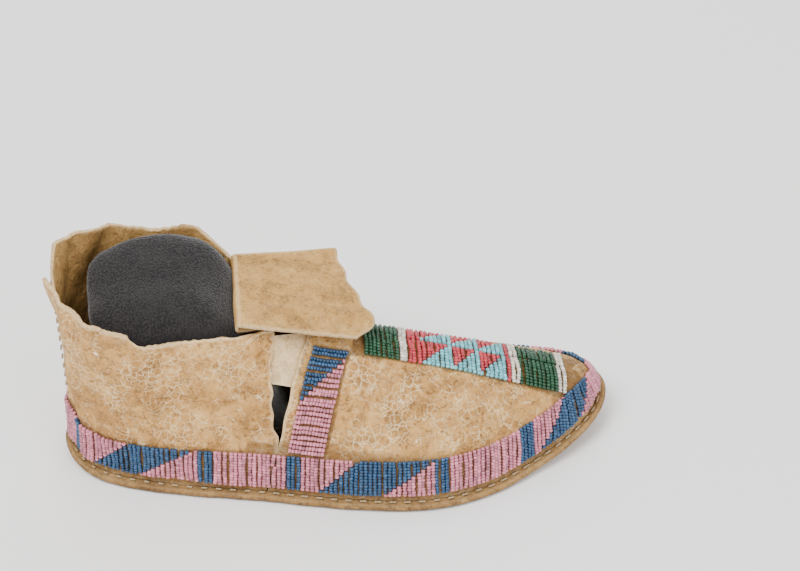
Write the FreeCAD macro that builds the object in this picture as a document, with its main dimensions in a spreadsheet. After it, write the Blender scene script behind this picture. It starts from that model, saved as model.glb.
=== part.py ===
import FreeCAD, Part
import math
import os

from FreeCAD import Vector

# Moccasin for the right foot: hide upper on a rawhide sole, beaded round the foot and over the
# instep, tongue folded forward, and a padded insert standing in the ankle opening.
# +X toe, +Y inner side of the foot, -Y outer side ("near"), +Z up, rawhide sole resting on z = 0.

doc = FreeCAD.newDocument("moccasin")
sheet = doc.addObject("Spreadsheet::Sheet", "sizes")

SIZES = [
    # driving sizes, millimetres and degrees
    ("foot_length", 251.0),
    ("ball_width", 105.0),
    ("hide_thick", 1.8),
    ("sole_thick", 3.0),
    ("sole_gap", 0.4),
    ("sole_margin", 4.0),
    ("toe_spring", 11.0),
    ("heel_lift", 4.0),
    ("bead_dia", 1.9),
    ("bead_pitch", 2.17),
    ("bead_gap", 0.3),
    ("band_low", 3.5),
    ("band_high", 20.5),
    ("strip_wide", 16.0),
    ("lane_wide", 11.6),
    ("lane_gap", 0.9),
    ("stitch_dia", 0.9),
    ("stitch_pitch", 6.5),
    ("fold_x", -43.0),
    ("fold_z", 86.0),
    ("insert_tilt", 30.0),
    ("cover_hem", 40.0),
]
for row, (alias, value) in enumerate(SIZES, start=1):
    sheet.set("A%d" % row, alias)
    sheet.set("B%d" % row, "%g" % value)
    sheet.setAlias("B%d" % row, alias)
doc.recompute()


def size(alias):
    return float(sheet.get(alias))


LENGTH = size("foot_length")
WIDTH = size("ball_width")
HIDE = size("hide_thick")
SOLE = size("sole_thick")
MARGIN = size("sole_margin")
BEAD = size("bead_dia")
PITCH = size("bead_pitch")

# ------------------------------------------------------------------ curves through stations


def slope(knots, i, j):
    span = knots[j][0] - knots[i][0]
    return [(b - a) / span for a, b in zip(knots[i][1:], knots[j][1:])]


def through(s, knots):
    """Smooth curve through (s, value, ...) stations; the ends are held."""
    last = len(knots) - 1
    s = min(max(s, knots[0][0]), knots[last][0])
    i = 0
    while i < last - 1 and s > knots[i + 1][0]:
        i += 1
    h = knots[i + 1][0] - knots[i][0]
    u = (s - knots[i][0]) / h
    m0 = slope(knots, max(i - 1, 0), i + 1)
    m1 = slope(knots, i, min(i + 2, last))
    a = 2 * u ** 3 - 3 * u ** 2 + 1
    b = (u ** 3 - 2 * u ** 2 + u) * h
    c = 1 - a
    d = (u ** 3 - u ** 2) * h
    rows = zip(knots[i][1:], m0, knots[i + 1][1:], m1)
    return [a * p + b * q + c * r + d * t for p, q, r, t in rows]


def closed(s, knots):
    """The same, for stations that run once round from s = 0 to s = 1."""
    before = (knots[-2][0] - 1,) + tuple(knots[-2][1:])
    after = (knots[1][0] + 1,) + tuple(knots[1][1:])
    return through(s % 1.0, [before] + list(knots) + [after])


# plan of the sole: s, x / length, y / width; s runs heel, outer side, toe (0.5), inner side, heel
PLAN = [
    (0.000, -0.494, 0.080), (0.035, -0.474, -0.080), (0.080, -0.416, -0.202),
    (0.140, -0.305, -0.297), (0.210, -0.153, -0.373), (0.280, 0.014, -0.468),
    (0.335, 0.153, -0.497), (0.380, 0.257, -0.430), (0.420, 0.357, -0.287),
    (0.455, 0.432, -0.154), (0.480, 0.480, -0.021), (0.500, 0.500, 0.125),
    (0.520, 0.490, 0.260), (0.550, 0.446, 0.370), (0.590, 0.357, 0.452),
    (0.640, 0.216, 0.497), (0.700, 0.042, 0.505), (0.770, -0.126, 0.484),
    (0.850, -0.293, 0.465), (0.910, -0.408, 0.398), (0.965, -0.476, 0.255),
    (1.000, -0.494, 0.080),
]
# top edge of the upper: s, x, y, z in mm; rim round the ankle, then the line along the instep
REAR_SEAM = 0.245
TOP_OUTER = [
    (0.000, -124, 11, 95), (0.035, -119, -9, 92), (0.080, -104, -21, 87), (0.106, -92, -23, 84),
    (0.118, -86, -23, 79), (0.160, -64, -21, 79), (0.190, -45, -17, 77), (0.215, -29, -11, 74),
    (REAR_SEAM, -9, -2, 69),
]
TOP_INNER = [
    (1 - REAR_SEAM, -9, -2, 69), (0.783, -27, 11, 75), (0.807, -40, 28, 82), (0.828, -51, 38, 90),
    (0.842, -60, 42, 96), (0.875, -80, 45, 95), (0.910, -98, 43, 99), (0.950, -115, 31, 103), (0.980, -123, 19, 99),
    (1.000, -124, 11, 95),
]
INSTEP = [
    (REAR_SEAM, -9, -2, 69), (0.265, 2, -1, 66), (0.300, 21, -1, 60.5), (0.340, 42, -1, 54),
    (0.380, 64, -1, 47.5), (0.420, 85, 0, 40.5), (0.460, 102, 3, 33.5), (0.500, 113, 8, 28.5),
]
# how straight the side of the upper is, and how much of the instep curve it has
WALL_POWER = 1.35
FRONT_POWER = 1.5
FRONT_START = 0.13
WELT_Z = SOLE + size("sole_gap")


def lift(x):
    """Height of the sole's underside: flat tread, raised toe and slightly raised heel."""
    tread_front = 0.26 * LENGTH
    tread_rear = -0.42 * LENGTH
    front = max(0.0, (x - tread_front) / (0.5 * LENGTH - tread_front))
    rear = max(0.0, (tread_rear - x) / (tread_rear + 0.5 * LENGTH))
    return size("toe_spring") * front ** 1.8 + size("heel_lift") * rear ** 1.6


def plan(s, inset=0.0):
    x, y = closed(s, PLAN)
    x0, y0 = closed(s - 0.002, PLAN)
    x1, y1 = closed(s + 0.002, PLAN)
    tx = (x1 - x0) * LENGTH
    ty = (y1 - y0) * WIDTH
    norm = math.hypot(tx, ty)
    return x * LENGTH - inset * ty / norm, y * WIDTH + inset * tx / norm


def frontness(s):
    edge = min(s, 1 - s)
    share = min(max((edge - FRONT_START) / (REAR_SEAM - FRONT_START), 0.0), 1.0)
    return share * share * (3 - 2 * share)


def top(s):
    if REAR_SEAM <= s <= 1 - REAR_SEAM:
        return through(min(s, 1 - s), INSTEP)
    if s < REAR_SEAM:
        return through(s, TOP_OUTER)
    return through(s, TOP_INNER)


def upper(s, v, depth=0.0):
    """Point on the upper: s round the foot, v from the sole seam up, depth inward from outside."""
    w = frontness(s)
    bx, by = plan(s, MARGIN + depth)
    tx, ty, tz = top(s)
    px, py = plan(s, 1.0)
    qx, qy = plan(s, 0.0)
    tx += (px - qx) * depth * (1 - w)
    ty += (py - qy) * depth * (1 - w)
    tz -= depth * w
    bz = WELT_Z + lift(bx)
    angle = v * math.pi / 2
    across = (1 - w) * v ** WALL_POWER + w * (1 - max(math.cos(angle), 0.0) ** (2 / FRONT_POWER))
    rise = (1 - w) * v + w * math.sin(angle) ** (2 / FRONT_POWER)
    return Vector(bx + (tx - bx) * across, by + (ty - by) * across, bz + (tz - bz) * rise)

# ------------------------------------------------------------------ solids


def even_knots(count):
    inner = count - 4
    return [k / (inner + 1) for k in range(inner + 2)], [4] + [1] * inner + [4]


def patch(grid):
    """Smooth cubic face over a grid of points; equal point rows give equal borders."""
    u_knots, u_mults = even_knots(len(grid))
    v_knots, v_mults = even_knots(len(grid[0]))
    surface = Part.BSplineSurface()
    surface.buildFromPolesMultsKnots(grid, u_mults, v_mults, u_knots, v_knots, False, False, 3, 3)
    return surface.toShape()


def edge_strip(outer, inner):
    """Straight-sided face between the same border of two patches."""
    knots, mults = even_knots(len(outer))
    surface = Part.BSplineSurface()
    surface.buildFromPolesMultsKnots([outer, inner], [2, 2], mults, [0.0, 1.0], knots, False,
                                     False, 1, 3)
    return surface.toShape()


def close_up(faces):
    shell = Part.makeShell(faces)
    shell.sewShape()
    solid = Part.makeSolid(shell)
    if solid.Volume < 0:
        solid.reverse()
    return solid


def band_faces(outer, inner, sides):
    """Cut edges of a hide: ruled faces between the outer and the inner border."""
    faces = []
    for side in sides:
        rows = []
        for grid in (outer, inner):
            if side == "first":
                rows.append(grid[0])
            elif side == "last":
                rows.append(grid[-1])
            elif side == "low":
                rows.append([column[0] for column in grid])
            else:
                rows.append([column[-1] for column in grid])
        faces.append(edge_strip(rows[0], rows[1]))
    return faces


def hide_solid(outer, inner):
    borders = band_faces(outer, inner, ("first", "last", "low", "high"))
    return close_up([patch(outer), patch(inner)] + borders)


def spread(count):
    return [k / (count - 1) for k in range(count)]


def seam_s(v):
    """Side seam between the front of the upper and the ankle part, leaning with the strip."""
    return REAR_SEAM - 0.029 * (1 - v)


SEAM_GAP = 0.0012
ROWS_UP = 12


def front_grid(depth, far):
    grid = []
    for a in spread(30):
        column = []
        for v in spread(ROWS_UP):
            start = seam_s(v)
            s = start + (0.5 - start) * a
            column.append(upper(1 - s if far else s, v, depth))
        grid.append(column)
    return grid


def rear_grid(depth, far):
    heel = 0.0012
    grid = []
    for a in spread(26):
        column = []
        for v in spread(ROWS_UP):
            end = seam_s(v) - SEAM_GAP
            s = heel + (end - heel) * a
            column.append(upper(1 - s if far else s, v, depth))
        grid.append(column)
    return grid


def vamp_shape():
    faces = []
    for far in (False, True):
        outer = front_grid(0.0, far)
        inner = front_grid(HIDE, far)
        faces += [patch(outer), patch(inner)]
        faces += band_faces(outer, inner, ("first", "low"))
    return close_up(faces)


# opening torn beside the outer strip: between the ankle part and the seam, open to the throat
SLIT_S = 0.2175
SLIT_LOW = 0.34
SLIT_TOP = 0.62


def slit_cutter():
    corners = [
        upper(SLIT_S + 0.003, SLIT_LOW), upper(SLIT_S, SLIT_TOP), upper(SLIT_S - 0.002, 1.0),
    ]
    outside = 40.0
    points = [Vector(p.x, -WIDTH / 2 - outside, p.z) for p in corners]
    points.append(Vector(corners[2].x, points[0].y, corners[2].z + outside))
    points.append(Vector(outside, points[0].y, corners[2].z + outside))
    points.append(Vector(outside, points[0].y, corners[0].z - 2 * HIDE))
    face = Part.Face(Part.makePolygon(points + [points[0]]))
    return face.extrude(Vector(0, WIDTH / 2 + outside, 0))


def gusset_shape():
    grids = []
    for depth in (HIDE + 0.35, 2 * HIDE):
        grid = []
        for a in spread(6):
            column = []
            for b in spread(8):
                v = SLIT_TOP + (0.97 - SLIT_TOP) * b
                start = SLIT_S - 0.005
                s = start + (seam_s(v) + 0.004 - start) * a
                column.append(upper(s, v, depth))
            grid.append(column)
        grids.append(grid)
    return hide_solid(grids[0], grids[1])


def thong_shape():
    """End of a hide thong that hangs from under the tongue over the outer side."""
    grids = []
    for depth in (-2.3, -0.8):
        grid = []
        for a in spread(5):
            column = []
            for b in spread(8):
                s = 0.205 - 0.010 * b + 0.0052 * a * (1 - 0.35 * b)
                column.append(upper(s, 0.985 - 0.105 * b - 0.012 * a, depth))
            grid.append(column)
        grids.append(grid)
    return hide_solid(grids[0], grids[1])


# tongue: a sheet filling the throat from the instep back to the fold, and the flap folded forward
FOLD_X = size("fold_x")
FOLD_Z = size("fold_z")
THROAT_START = 0.238
THROAT_END = 0.1925


def tongue_base_grid(depth):
    edge_gap = HIDE + 0.6
    grid = []
    for a in spread(9):
        s = THROAT_START + (THROAT_END - THROAT_START) * a
        near = Vector(*top(s))
        reach = (s - THROAT_END) / (THROAT_START - THROAT_END)
        far = Vector(*top(1 - THROAT_START + (THROAT_START - THROAT_END) * 1.08 * (1 - reach)))
        far.x = near.x
        column = []
        for b in spread(7):
            y = near.y + edge_gap + (far.y - near.y - 2 * edge_gap) * b
            arch = 4 * b * (1 - b) * 0.03 * (far.y - near.y)
            z = near.z + (far.z - near.z) * b + arch - depth
            column.append(Vector(near.x, y, z))
        grid.append(column)
    return grid


# flap stations, inner side to outer side: y at the fold, front edge x, y, and droop of the sheet
FLAP = [
    (0.00, 29.0, 2.0, 41.0, 0.0), (0.25, 20.0, 4.0, 29.0, 0.0), (0.50, 8.0, 10.0, 15.5, 0.2),
    (0.75, -5.0, 13.5, 2.0, 0.8), (0.90, -13.0, 15.0, -6.5, 1.9), (1.00, -18.5, 9.0, -14.5, 3.4),
]


def flap_grid(depth):
    grid = []
    for a in spread(12):
        column = []
        for b in spread(14):
            fold_y, front_x, front_y, droop = through(b, FLAP)
            x = FOLD_X + (front_x - FOLD_X) * a
            y = fold_y + (front_y - fold_y) * a
            z = FOLD_Z - 0.19 * (x - FOLD_X) - droop * a ** 0.8 - 4.0 * b - depth
            column.append(Vector(x, y, z))
        grid.append(column)
    return grid

# ------------------------------------------------------------------ bead rows and stitches


def climb(s, length, depth):
    """Share v at which a walk up the upper from the sole seam has gone the given length."""
    steps = 120
    walked = 0.0
    last = upper(s, 0.0, depth)
    for k in range(1, steps + 1):
        here = upper(s, k / steps, depth)
        step = (here - last).Length
        if walked + step >= length:
            return (k - 1 + (length - walked) / step) / steps
        walked += step
        last = here
    return 1.0


def stations(pitch, depth, v, start, end):
    """Values of s an equal pitch apart along the upper."""
    steps = 1600
    marks = [0.0]
    last = upper(start, v, depth)
    for k in range(1, steps + 1):
        here = upper(start + (end - start) * k / steps, v, depth)
        marks.append(marks[-1] + (here - last).Length)
        last = here
    count = int(marks[-1] / pitch)
    found = []
    k = 0
    for i in range(count):
        target = marks[-1] * (i + 0.5) / count
        while marks[k + 1] < target:
            k += 1
        part = (target - marks[k]) / (marks[k + 1] - marks[k])
        found.append(start + (end - start) * (k + part) / steps)
    return found


def straight_over(points):
    """Ends of a straight line that clears the bulge of the surface between three points."""
    start, middle, end = points
    bulge = middle - (start + end) * 0.5
    return start + bulge, end + bulge


def rod(start, end, r0, r1):
    axis = end - start
    if abs(r0 - r1) < 0.01:
        return Part.makeCylinder(r0, axis.Length, start, axis)
    return Part.makeCone(r0, r1, axis.Length, start, axis)


BEAD_DEPTH = -(size("bead_gap") + BEAD / 2)
BAR_ROWS = 3
# the band is lower where it rounds the toe
TOE_SHARE = 0.07
TOE_DROP = 0.40
BARS = (0.033, 0.168, 0.2355, 0.343, 0.412)
FIELDS = (
    # s where a blue field starts and ends along the lower and along the upper edge of the band
    (0.058, 0.107, 0.100, 0.160),
    (0.254, 0.298, 0.283, 0.340),
    (0.424, 0.462, 0.452, 0.485),
)


def blue_span(s):
    """Shares of the band height that are blue in the row at s."""
    edge = min(s, 1 - s)
    half_bar = BAR_ROWS * PITCH / 2 / 570
    for bar in BARS:
        if abs(edge - bar) < half_bar:
            return 0.0, 1.0
    for low_from, low_to, high_from, high_to in FIELDS:
        if low_from < edge < high_to:
            upto = min(1.0, max(0.0, (edge - low_from) / (high_from - low_from)))
            start = min(1.0, max(0.0, (edge - low_to) / (high_to - low_to)))
            return start, upto
    return 0.0, 0.0


def band_rows():
    """Perimeter band: short rows standing on the sole seam, side by side round the foot."""
    low = size("band_low")
    high = size("band_high")
    pink = []
    blue = []
    marks = stations(PITCH, BEAD_DEPTH, 0.08, 0.0, 1.0)
    gap = 0.05
    for k, s in enumerate(marks):
        toe = max(0.0, 1 - abs(s - 0.5) / TOE_SHARE)
        v0 = climb(s, low, BEAD_DEPTH)
        v1 = climb(s, high - (high - low) * TOE_DROP * toe * toe, BEAD_DEPTH)
        beside = marks[(k + 1) % len(marks)]
        radii = []
        for v in (v0, v1):
            room = (upper(beside, v, BEAD_DEPTH) - upper(s, v, BEAD_DEPTH)).Length
            radii.append(min(BEAD / 2, 0.46 * room))
        foot, head = straight_over([upper(s, v, BEAD_DEPTH) for v in (v0, (v0 + v1) / 2, v1)])
        start, upto = blue_span(s)
        pieces = [(0.0, start, pink), (start, upto, blue), (upto, 1.0, pink)]
        for a, b, rows in pieces:
            if b - a < 0.06:
                continue
            r0 = radii[0] + (radii[1] - radii[0]) * a
            r1 = radii[0] + (radii[1] - radii[0]) * b
            rows.append(rod(foot + (head - foot) * (a + gap / 2), foot + (head - foot) * b, r0, r1))
    return pink, blue


STRIP_LEAN = 0.029
STRIP_TOP = 0.79
PINK_ROWS = 0.45


def strip_rows(far):
    """Strip beside the seam: rows lie along the foot, one above the other up to the tongue."""
    pink = []
    blue = []
    rear = 0.223
    v = climb(rear, size("band_high") + 2.6, BEAD_DEPTH)
    count = 0
    while v < STRIP_TOP:
        s0 = rear + STRIP_LEAN * v
        s1 = stations_after(s0, v, size("strip_wide"))
        ends = [upper(1 - s if far else s, v, BEAD_DEPTH - 0.25) for s in (s0, s1)]
        share = (v - 0.24) / (STRIP_TOP - 0.24)
        split = min(1.0, max(0.0, (share - PINK_ROWS) / (1 - PINK_ROWS) * 1.25))
        for a, b, rows in ((0.0, split, blue), (split, 1.0, pink)):
            if b - a < 0.06:
                continue
            p = ends[0] + (ends[1] - ends[0]) * (a + 0.015)
            q = ends[0] + (ends[1] - ends[0]) * b
            rows.append(rod(p, q, BEAD / 2, BEAD / 2))
        v = step_up(s0, v, PITCH)
        count += 1
    return pink, blue


def stations_after(s, v, length):
    start = upper(s, v, BEAD_DEPTH)
    step = 0.0005
    end = s
    while (upper(end, v, BEAD_DEPTH) - start).Length < length:
        end += step
    return end


def step_up(s, v, length):
    start = upper(s, v, BEAD_DEPTH)
    step = 0.001
    high = v
    while (upper(s, high, BEAD_DEPTH) - start).Length < length:
        high += step
    return high


# bands along the instep from the tongue to the toe: colour, number of rows
CENTRE = [
    ("green", 8), ("white", 2), ("red", 3), ("steps", 7), ("steps", 6), ("steps", 6), ("red", 1),
    ("white", 2), ("green", 9), ("white", 2),
]
CENTRE_START = 12.5


def crest_y(x):
    s = REAR_SEAM
    while s < 0.5 and through(s, INSTEP)[0] < x:
        s += 0.001
    return through(s, INSTEP)[1]


def over_front(x, y, depth):
    """Point of the front of the upper over a place in plan, found on the line of equal s."""
    low, high = REAR_SEAM, 0.5
    far = y > crest_y(x)
    for _ in range(30):
        s = (low + high) / 2
        side = 1 - s if far else s
        base = plan(side, MARGIN + depth)
        ridge = top(side)
        run = (ridge[0] - base[0], ridge[1] - base[1])
        turn = run[0] * (y - base[1]) - run[1] * (x - base[0])
        if (turn < 0) == far:
            high = s
        else:
            low = s
    share = ((x - base[0]) * run[0] + (y - base[1]) * run[1]) / (run[0] ** 2 + run[1] ** 2)
    share = min(max(share, 0.0), 1.0)
    v = math.acos((1 - share) ** (FRONT_POWER / 2)) / (math.pi / 2)
    return upper(side, v, depth)


def centre_rows():
    """Two lanes side by side along the instep, rows lying across the foot."""
    rows = {"green": [], "white": [], "red": [], "turquoise": []}
    x = CENTRE_START
    lane = size("lane_wide")
    half_gap = size("lane_gap") / 2
    for kind, number in CENTRE:
        for k in range(number):
            middle = crest_y(x)
            for start in (middle - half_gap - lane, middle + half_gap):
                places = (start, start + lane / 2, start + lane)
                p, q = straight_over([over_front(x, y, BEAD_DEPTH - 0.15) for y in places])
                if kind == "steps":
                    split = min(1.0, (k + 1) / number)
                    parts = ((0.0, split, "turquoise"), (split, 1.0, "red"))
                else:
                    parts = ((0.0, 1.0, kind),)
                for a, b, colour in parts:
                    if b - a < 0.06:
                        continue
                    rows[colour].append(rod(p + (q - p) * (a + 0.02), p + (q - p) * b, BEAD / 2,
                                            BEAD / 2))
            x += PITCH * 0.93
    return rows


def sole_seam():
    """Sinew stitches in the groove between the sole's edge and the upper."""
    marks = stations(size("stitch_pitch"), 0.0, 0.0, 0.0, 1.0)
    radius = size("stitch_dia") / 2
    found = []
    for s in marks:
        x, y = plan(s, MARGIN - 1.2)
        z = SOLE + lift(x) + radius + 0.25
        x1, y1 = plan(s + 0.0045, MARGIN - 1.2)
        p = Vector(x, y, z)
        q = Vector(x1, y1, SOLE + lift(x1) + radius + 0.25)
        found.append(rod(p, q, radius, radius))
    return found


def heel_seam():
    """Whip stitches across the closed heel seam."""
    radius = size("stitch_dia") / 2
    found = []
    for k in range(13):
        v = 0.27 + 0.055 * k
        p = upper(0.9955, v, -radius - 0.25)
        q = upper(0.0045, v + 0.02, -radius - 0.25)
        found.append(rod(p, q, radius, radius))
    return found


def side_seam():
    """Stitches over the edge where the small inset hide meets the front of the upper."""
    radius = size("stitch_dia") / 2
    found = []
    for k in range(6):
        v = 0.63 + 0.05 * k
        p = upper(seam_s(v) + 0.0025, v, -radius - 0.2)
        q = upper(seam_s(v) + 0.0025, v + 0.03, -radius - 0.2)
        found.append(rod(p, q, radius, radius))
    return found


def throat_seam():
    """Whip stitches between the tongue and the edges of the throat."""
    radius = size("stitch_dia") / 2
    found = []
    for a in (0.15, 0.3, 0.45, 0.6, 0.75, 0.9):
        s = THROAT_START + (THROAT_END - THROAT_START) * a
        # on the outer side the thong covers the last ones
        for side in (s, 1 - s) if a < 0.7 else (1 - s,):
            edge = Vector(*top(side))
            toward = 1 if side < 0.5 else -1
            outward = edge + Vector(0, -toward * 1.4, radius + 0.35)
            inward = edge + Vector(1.5, toward * 1.4, radius + 0.6)
            found.append(rod(outward, inward, radius, radius))
    return found

# ------------------------------------------------------------------ insert in the ankle opening


def tilt_shift(z):
    return -(z - 85.0) * math.tan(math.radians(size("insert_tilt")))


def insert_ring(z, shrink, crest=0.0):
    """Section of the insert at height z: the ankle opening, slid along the tilted lift path."""
    points = []
    rear = -110.0
    front = FOLD_X - 6.6
    for s in (0.055, 0.085, 0.12, 0.155, 0.185, 0.815, 0.838, 0.87, 0.905, 0.94):
        x, y, _ = top(s)
        x = min(max(x, rear), front)
        y = y + (5.5 if s < 0.5 else -10.3 - 120 * max(0.0, s - 0.88) - 130 * max(0.0, 0.85 - s))
        points.append(Vector(x, y, 0))
        if s == 0.185:
            points += [Vector(front, -3.0, 0), Vector(front, 5.0, 0), Vector(front, 13.0, 0)]
    points += [Vector(rear, 10.0, 0), Vector(rear, 4.0, 0), Vector(rear, -3.0, 0)]
    middle = Vector(-73.0, 11.0, 0)
    ring = []
    for p in points:
        q = middle + (p - middle) * shrink
        ring.append(Vector(q.x + tilt_shift(z), q.y, z + crest * (q.y - middle.y) / 30.0))
    curve = Part.BSplineCurve()
    curve.interpolate(Points=ring, PeriodicFlag=True)
    return Part.Wire(curve.toShape())


INSERT_LEVELS = [
    # height, share of the full section, rise toward the inner side
    (9.0, 0.70, 0.0), (22.0, 0.78, 0.0), (40.0, 0.85, 0.0), (64.0, 0.96, 0.0), (75.0, 1.0, 2.0),
    (82.5, 0.95, 6.0), (87.5, 0.80, 7.0), (90.5, 0.52, 6.0), (92.0, 0.15, 3.0),
]


# space between the padding's top and the stuffed cover, and how wide that top is
PADDING_PLAY = 0.6
PADDING_TOP_SHARE = 0.82


def insert_solid(levels):
    return Part.makeLoft([insert_ring(*level) for level in levels], True, False)


def insert_shapes():
    """The stuffed cover above its hem, and the bare padding that sticks out below it."""
    hem = size("cover_hem")
    cover = [level for level in INSERT_LEVELS if level[0] >= hem]
    padding = [level for level in INSERT_LEVELS if level[0] < hem]
    padding.append((hem - PADDING_PLAY, PADDING_TOP_SHARE, 0.0))
    return insert_solid(cover), insert_solid(padding)

# ------------------------------------------------------------------ document objects


def feature(name, shape):
    obj = doc.addObject("Part::Feature", name)
    obj.Label = name
    obj.Shape = shape
    obj.Placement = FreeCAD.Placement()
    return obj


def group(name, solids):
    return feature(name, Part.makeCompound(solids))


def spline_sketch(body, name, plane_name, points):
    sketch = body.newObject("Sketcher::SketchObject", name)
    plane = [o for o in body.Origin.OriginFeatures if o.Role == plane_name][0]
    sketch.AttachmentSupport = [(plane, "")]
    sketch.MapMode = "FlatFace"
    curve = Part.BSplineCurve()
    curve.interpolate(Points=points, PeriodicFlag=True)
    sketch.addGeometry(curve, False)
    return sketch


def line_sketch(body, name, plane_name, points):
    sketch = body.newObject("Sketcher::SketchObject", name)
    plane = [o for o in body.Origin.OriginFeatures if o.Role == plane_name][0]
    sketch.AttachmentSupport = [(plane, "")]
    sketch.MapMode = "FlatFace"
    for p, q in zip(points, points[1:] + points[:1]):
        sketch.addGeometry(Part.LineSegment(p, q), False)
    return sketch


def sole_body():
    """Outline padded to a block, then two pockets leave the sole's thickness between them."""
    body = doc.addObject("PartDesign::Body", "sole")
    body.Label = "sole"
    outline = [Vector(*plan(s), 0) for s, _, _ in PLAN[:-1]]
    sketch = spline_sketch(body, "sole_outline", "XY_Plane", outline)
    pad = body.newObject("PartDesign::Pad", "sole_block")
    pad.Profile = sketch
    pad.setExpression("Length", "sizes.toe_spring + sizes.sole_thick + 4")
    over = LENGTH / 2 + 10
    steps = [-over + 2 * over * k / 44 for k in range(45)]
    ceiling = 60.0
    above = [Vector(x, SOLE + lift(x), 0) for x in steps]
    above += [Vector(over, ceiling, 0), Vector(-over, ceiling, 0)]
    rear = [Vector(x, lift(x), 0) for x in steps if x < -0.42 * LENGTH]
    front = [Vector(x, lift(x), 0) for x in steps if x > 0.26 * LENGTH]
    rear_cut = rear + [Vector(-0.42 * LENGTH, 0, 0), Vector(-over, 0, 0)]
    front_cut = [Vector(0.26 * LENGTH, 0, 0)] + front + [Vector(over, 0, 0)]
    for name, points in (("top", above), ("heel_lift", rear_cut), ("toe_lift", front_cut)):
        side = line_sketch(body, name + "_profile", "XZ_Plane", points)
        cut = body.newObject("PartDesign::Pocket", name + "_cut")
        cut.Profile = side
        cut.Type = 1
        cut.Midplane = True
    return body


def build():
    made = [sole_body()]
    made.append(feature("vamp", vamp_shape()))
    near = hide_solid(rear_grid(0.0, False), rear_grid(HIDE, False))
    made.append(feature("quarter_near", near.cut(slit_cutter())))
    made.append(feature("quarter_far", hide_solid(rear_grid(0.0, True), rear_grid(HIDE, True))))
    made.append(feature("gusset_near", gusset_shape()))
    made.append(feature("tie_thong", thong_shape()))
    made.append(feature("tongue_base", hide_solid(tongue_base_grid(0.0), tongue_base_grid(HIDE))))
    made.append(feature("tongue_flap", hide_solid(flap_grid(-HIDE), flap_grid(0.0))))
    pink, blue = band_rows()
    made.append(group("band_beads_pink", pink))
    made.append(group("band_beads_blue", blue))
    for far, side in ((False, "near"), (True, "far")):
        pink, blue = strip_rows(far)
        made.append(group("strip_%s_beads_pink" % side, pink))
        made.append(group("strip_%s_beads_blue" % side, blue))
    for colour, rows in centre_rows().items():
        made.append(group("instep_beads_" + colour, rows))
    made.append(group("sole_seam_stitches", sole_seam()))
    made.append(group("heel_seam_stitches", heel_seam()))
    made.append(group("side_seam_stitches", side_seam()))
    made.append(group("throat_stitches", throat_seam()))
    cover, padding = insert_shapes()
    made.append(feature("insert_cover", cover))
    made.append(feature("insert_padding", padding))
    return made


os.makedirs("parts", exist_ok=True)
parts = build()
doc.recompute()
for obj in parts:
    bad = [state for state in obj.State if state in ("Invalid", "Error")]
    if bad or obj.Shape.isNull() or not obj.Shape.isValid():
        raise RuntimeError("bad shape: %s %s" % (obj.Label, bad))
for obj in parts:
    obj.Shape.exportStep("parts/%s.step" % obj.Label)
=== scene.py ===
import math

import bmesh
import bpy
import numpy as np
from mathutils import Matrix, Vector, noise
from mathutils.bvhtree import BVHTree


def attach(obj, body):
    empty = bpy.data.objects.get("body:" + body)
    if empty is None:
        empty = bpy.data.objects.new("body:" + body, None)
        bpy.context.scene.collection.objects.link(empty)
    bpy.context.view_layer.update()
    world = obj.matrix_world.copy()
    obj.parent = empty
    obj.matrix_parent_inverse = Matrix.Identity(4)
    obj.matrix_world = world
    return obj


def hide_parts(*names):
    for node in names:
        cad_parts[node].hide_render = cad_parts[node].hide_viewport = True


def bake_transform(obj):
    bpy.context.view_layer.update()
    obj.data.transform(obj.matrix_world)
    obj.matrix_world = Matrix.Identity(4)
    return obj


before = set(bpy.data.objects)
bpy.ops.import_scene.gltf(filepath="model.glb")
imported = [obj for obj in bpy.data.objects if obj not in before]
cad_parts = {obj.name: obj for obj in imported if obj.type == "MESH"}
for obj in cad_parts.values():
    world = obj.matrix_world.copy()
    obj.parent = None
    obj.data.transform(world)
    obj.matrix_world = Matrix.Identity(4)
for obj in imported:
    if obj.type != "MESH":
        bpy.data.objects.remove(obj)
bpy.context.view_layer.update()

# Right-foot moccasin: +X toe, +Y inner side, -Y outer side, +Z up. Lengths below are in millimetres
# and turned to metres when a mesh is made.
MM = 0.001
RANDOM = np.random.default_rng(7)

# ---------------------------------------------------------------- the upper's shape, as in the CAD

LENGTH = 251.0
WIDTH = 105.0
HIDE = 1.8
SOLE_THICK = 3.0
SOLE_GAP = 0.4
MARGIN = 4.0
TOE_SPRING = 11.0
HEEL_LIFT = 4.0
REAR_SEAM = 0.245
WALL_POWER = 1.35
FRONT_POWER = 1.5
FRONT_START = 0.13
SLIT_S = 0.2175
SLIT_LOW = 0.34
SLIT_TOP = 0.62

PLAN = np.array([
    (0.000, -0.494, 0.080), (0.035, -0.474, -0.080), (0.080, -0.416, -0.202),
    (0.140, -0.305, -0.297), (0.210, -0.153, -0.373), (0.280, 0.014, -0.468),
    (0.335, 0.153, -0.497), (0.380, 0.257, -0.430), (0.420, 0.357, -0.287),
    (0.455, 0.432, -0.154), (0.480, 0.480, -0.021), (0.500, 0.500, 0.125),
    (0.520, 0.490, 0.260), (0.550, 0.446, 0.370), (0.590, 0.357, 0.452),
    (0.640, 0.216, 0.497), (0.700, 0.042, 0.505), (0.770, -0.126, 0.484),
    (0.850, -0.293, 0.465), (0.910, -0.408, 0.398), (0.965, -0.476, 0.255),
    (1.000, -0.494, 0.080),
])
TOP_OUTER = np.array([
    (0.000, -124, 11, 95), (0.035, -119, -9, 92), (0.080, -104, -21, 87), (0.106, -92, -23, 84),
    (0.118, -86, -23, 79), (0.160, -64, -21, 79), (0.190, -45, -17, 77), (0.215, -29, -11, 74),
    (REAR_SEAM, -9, -2, 69),
])
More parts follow.
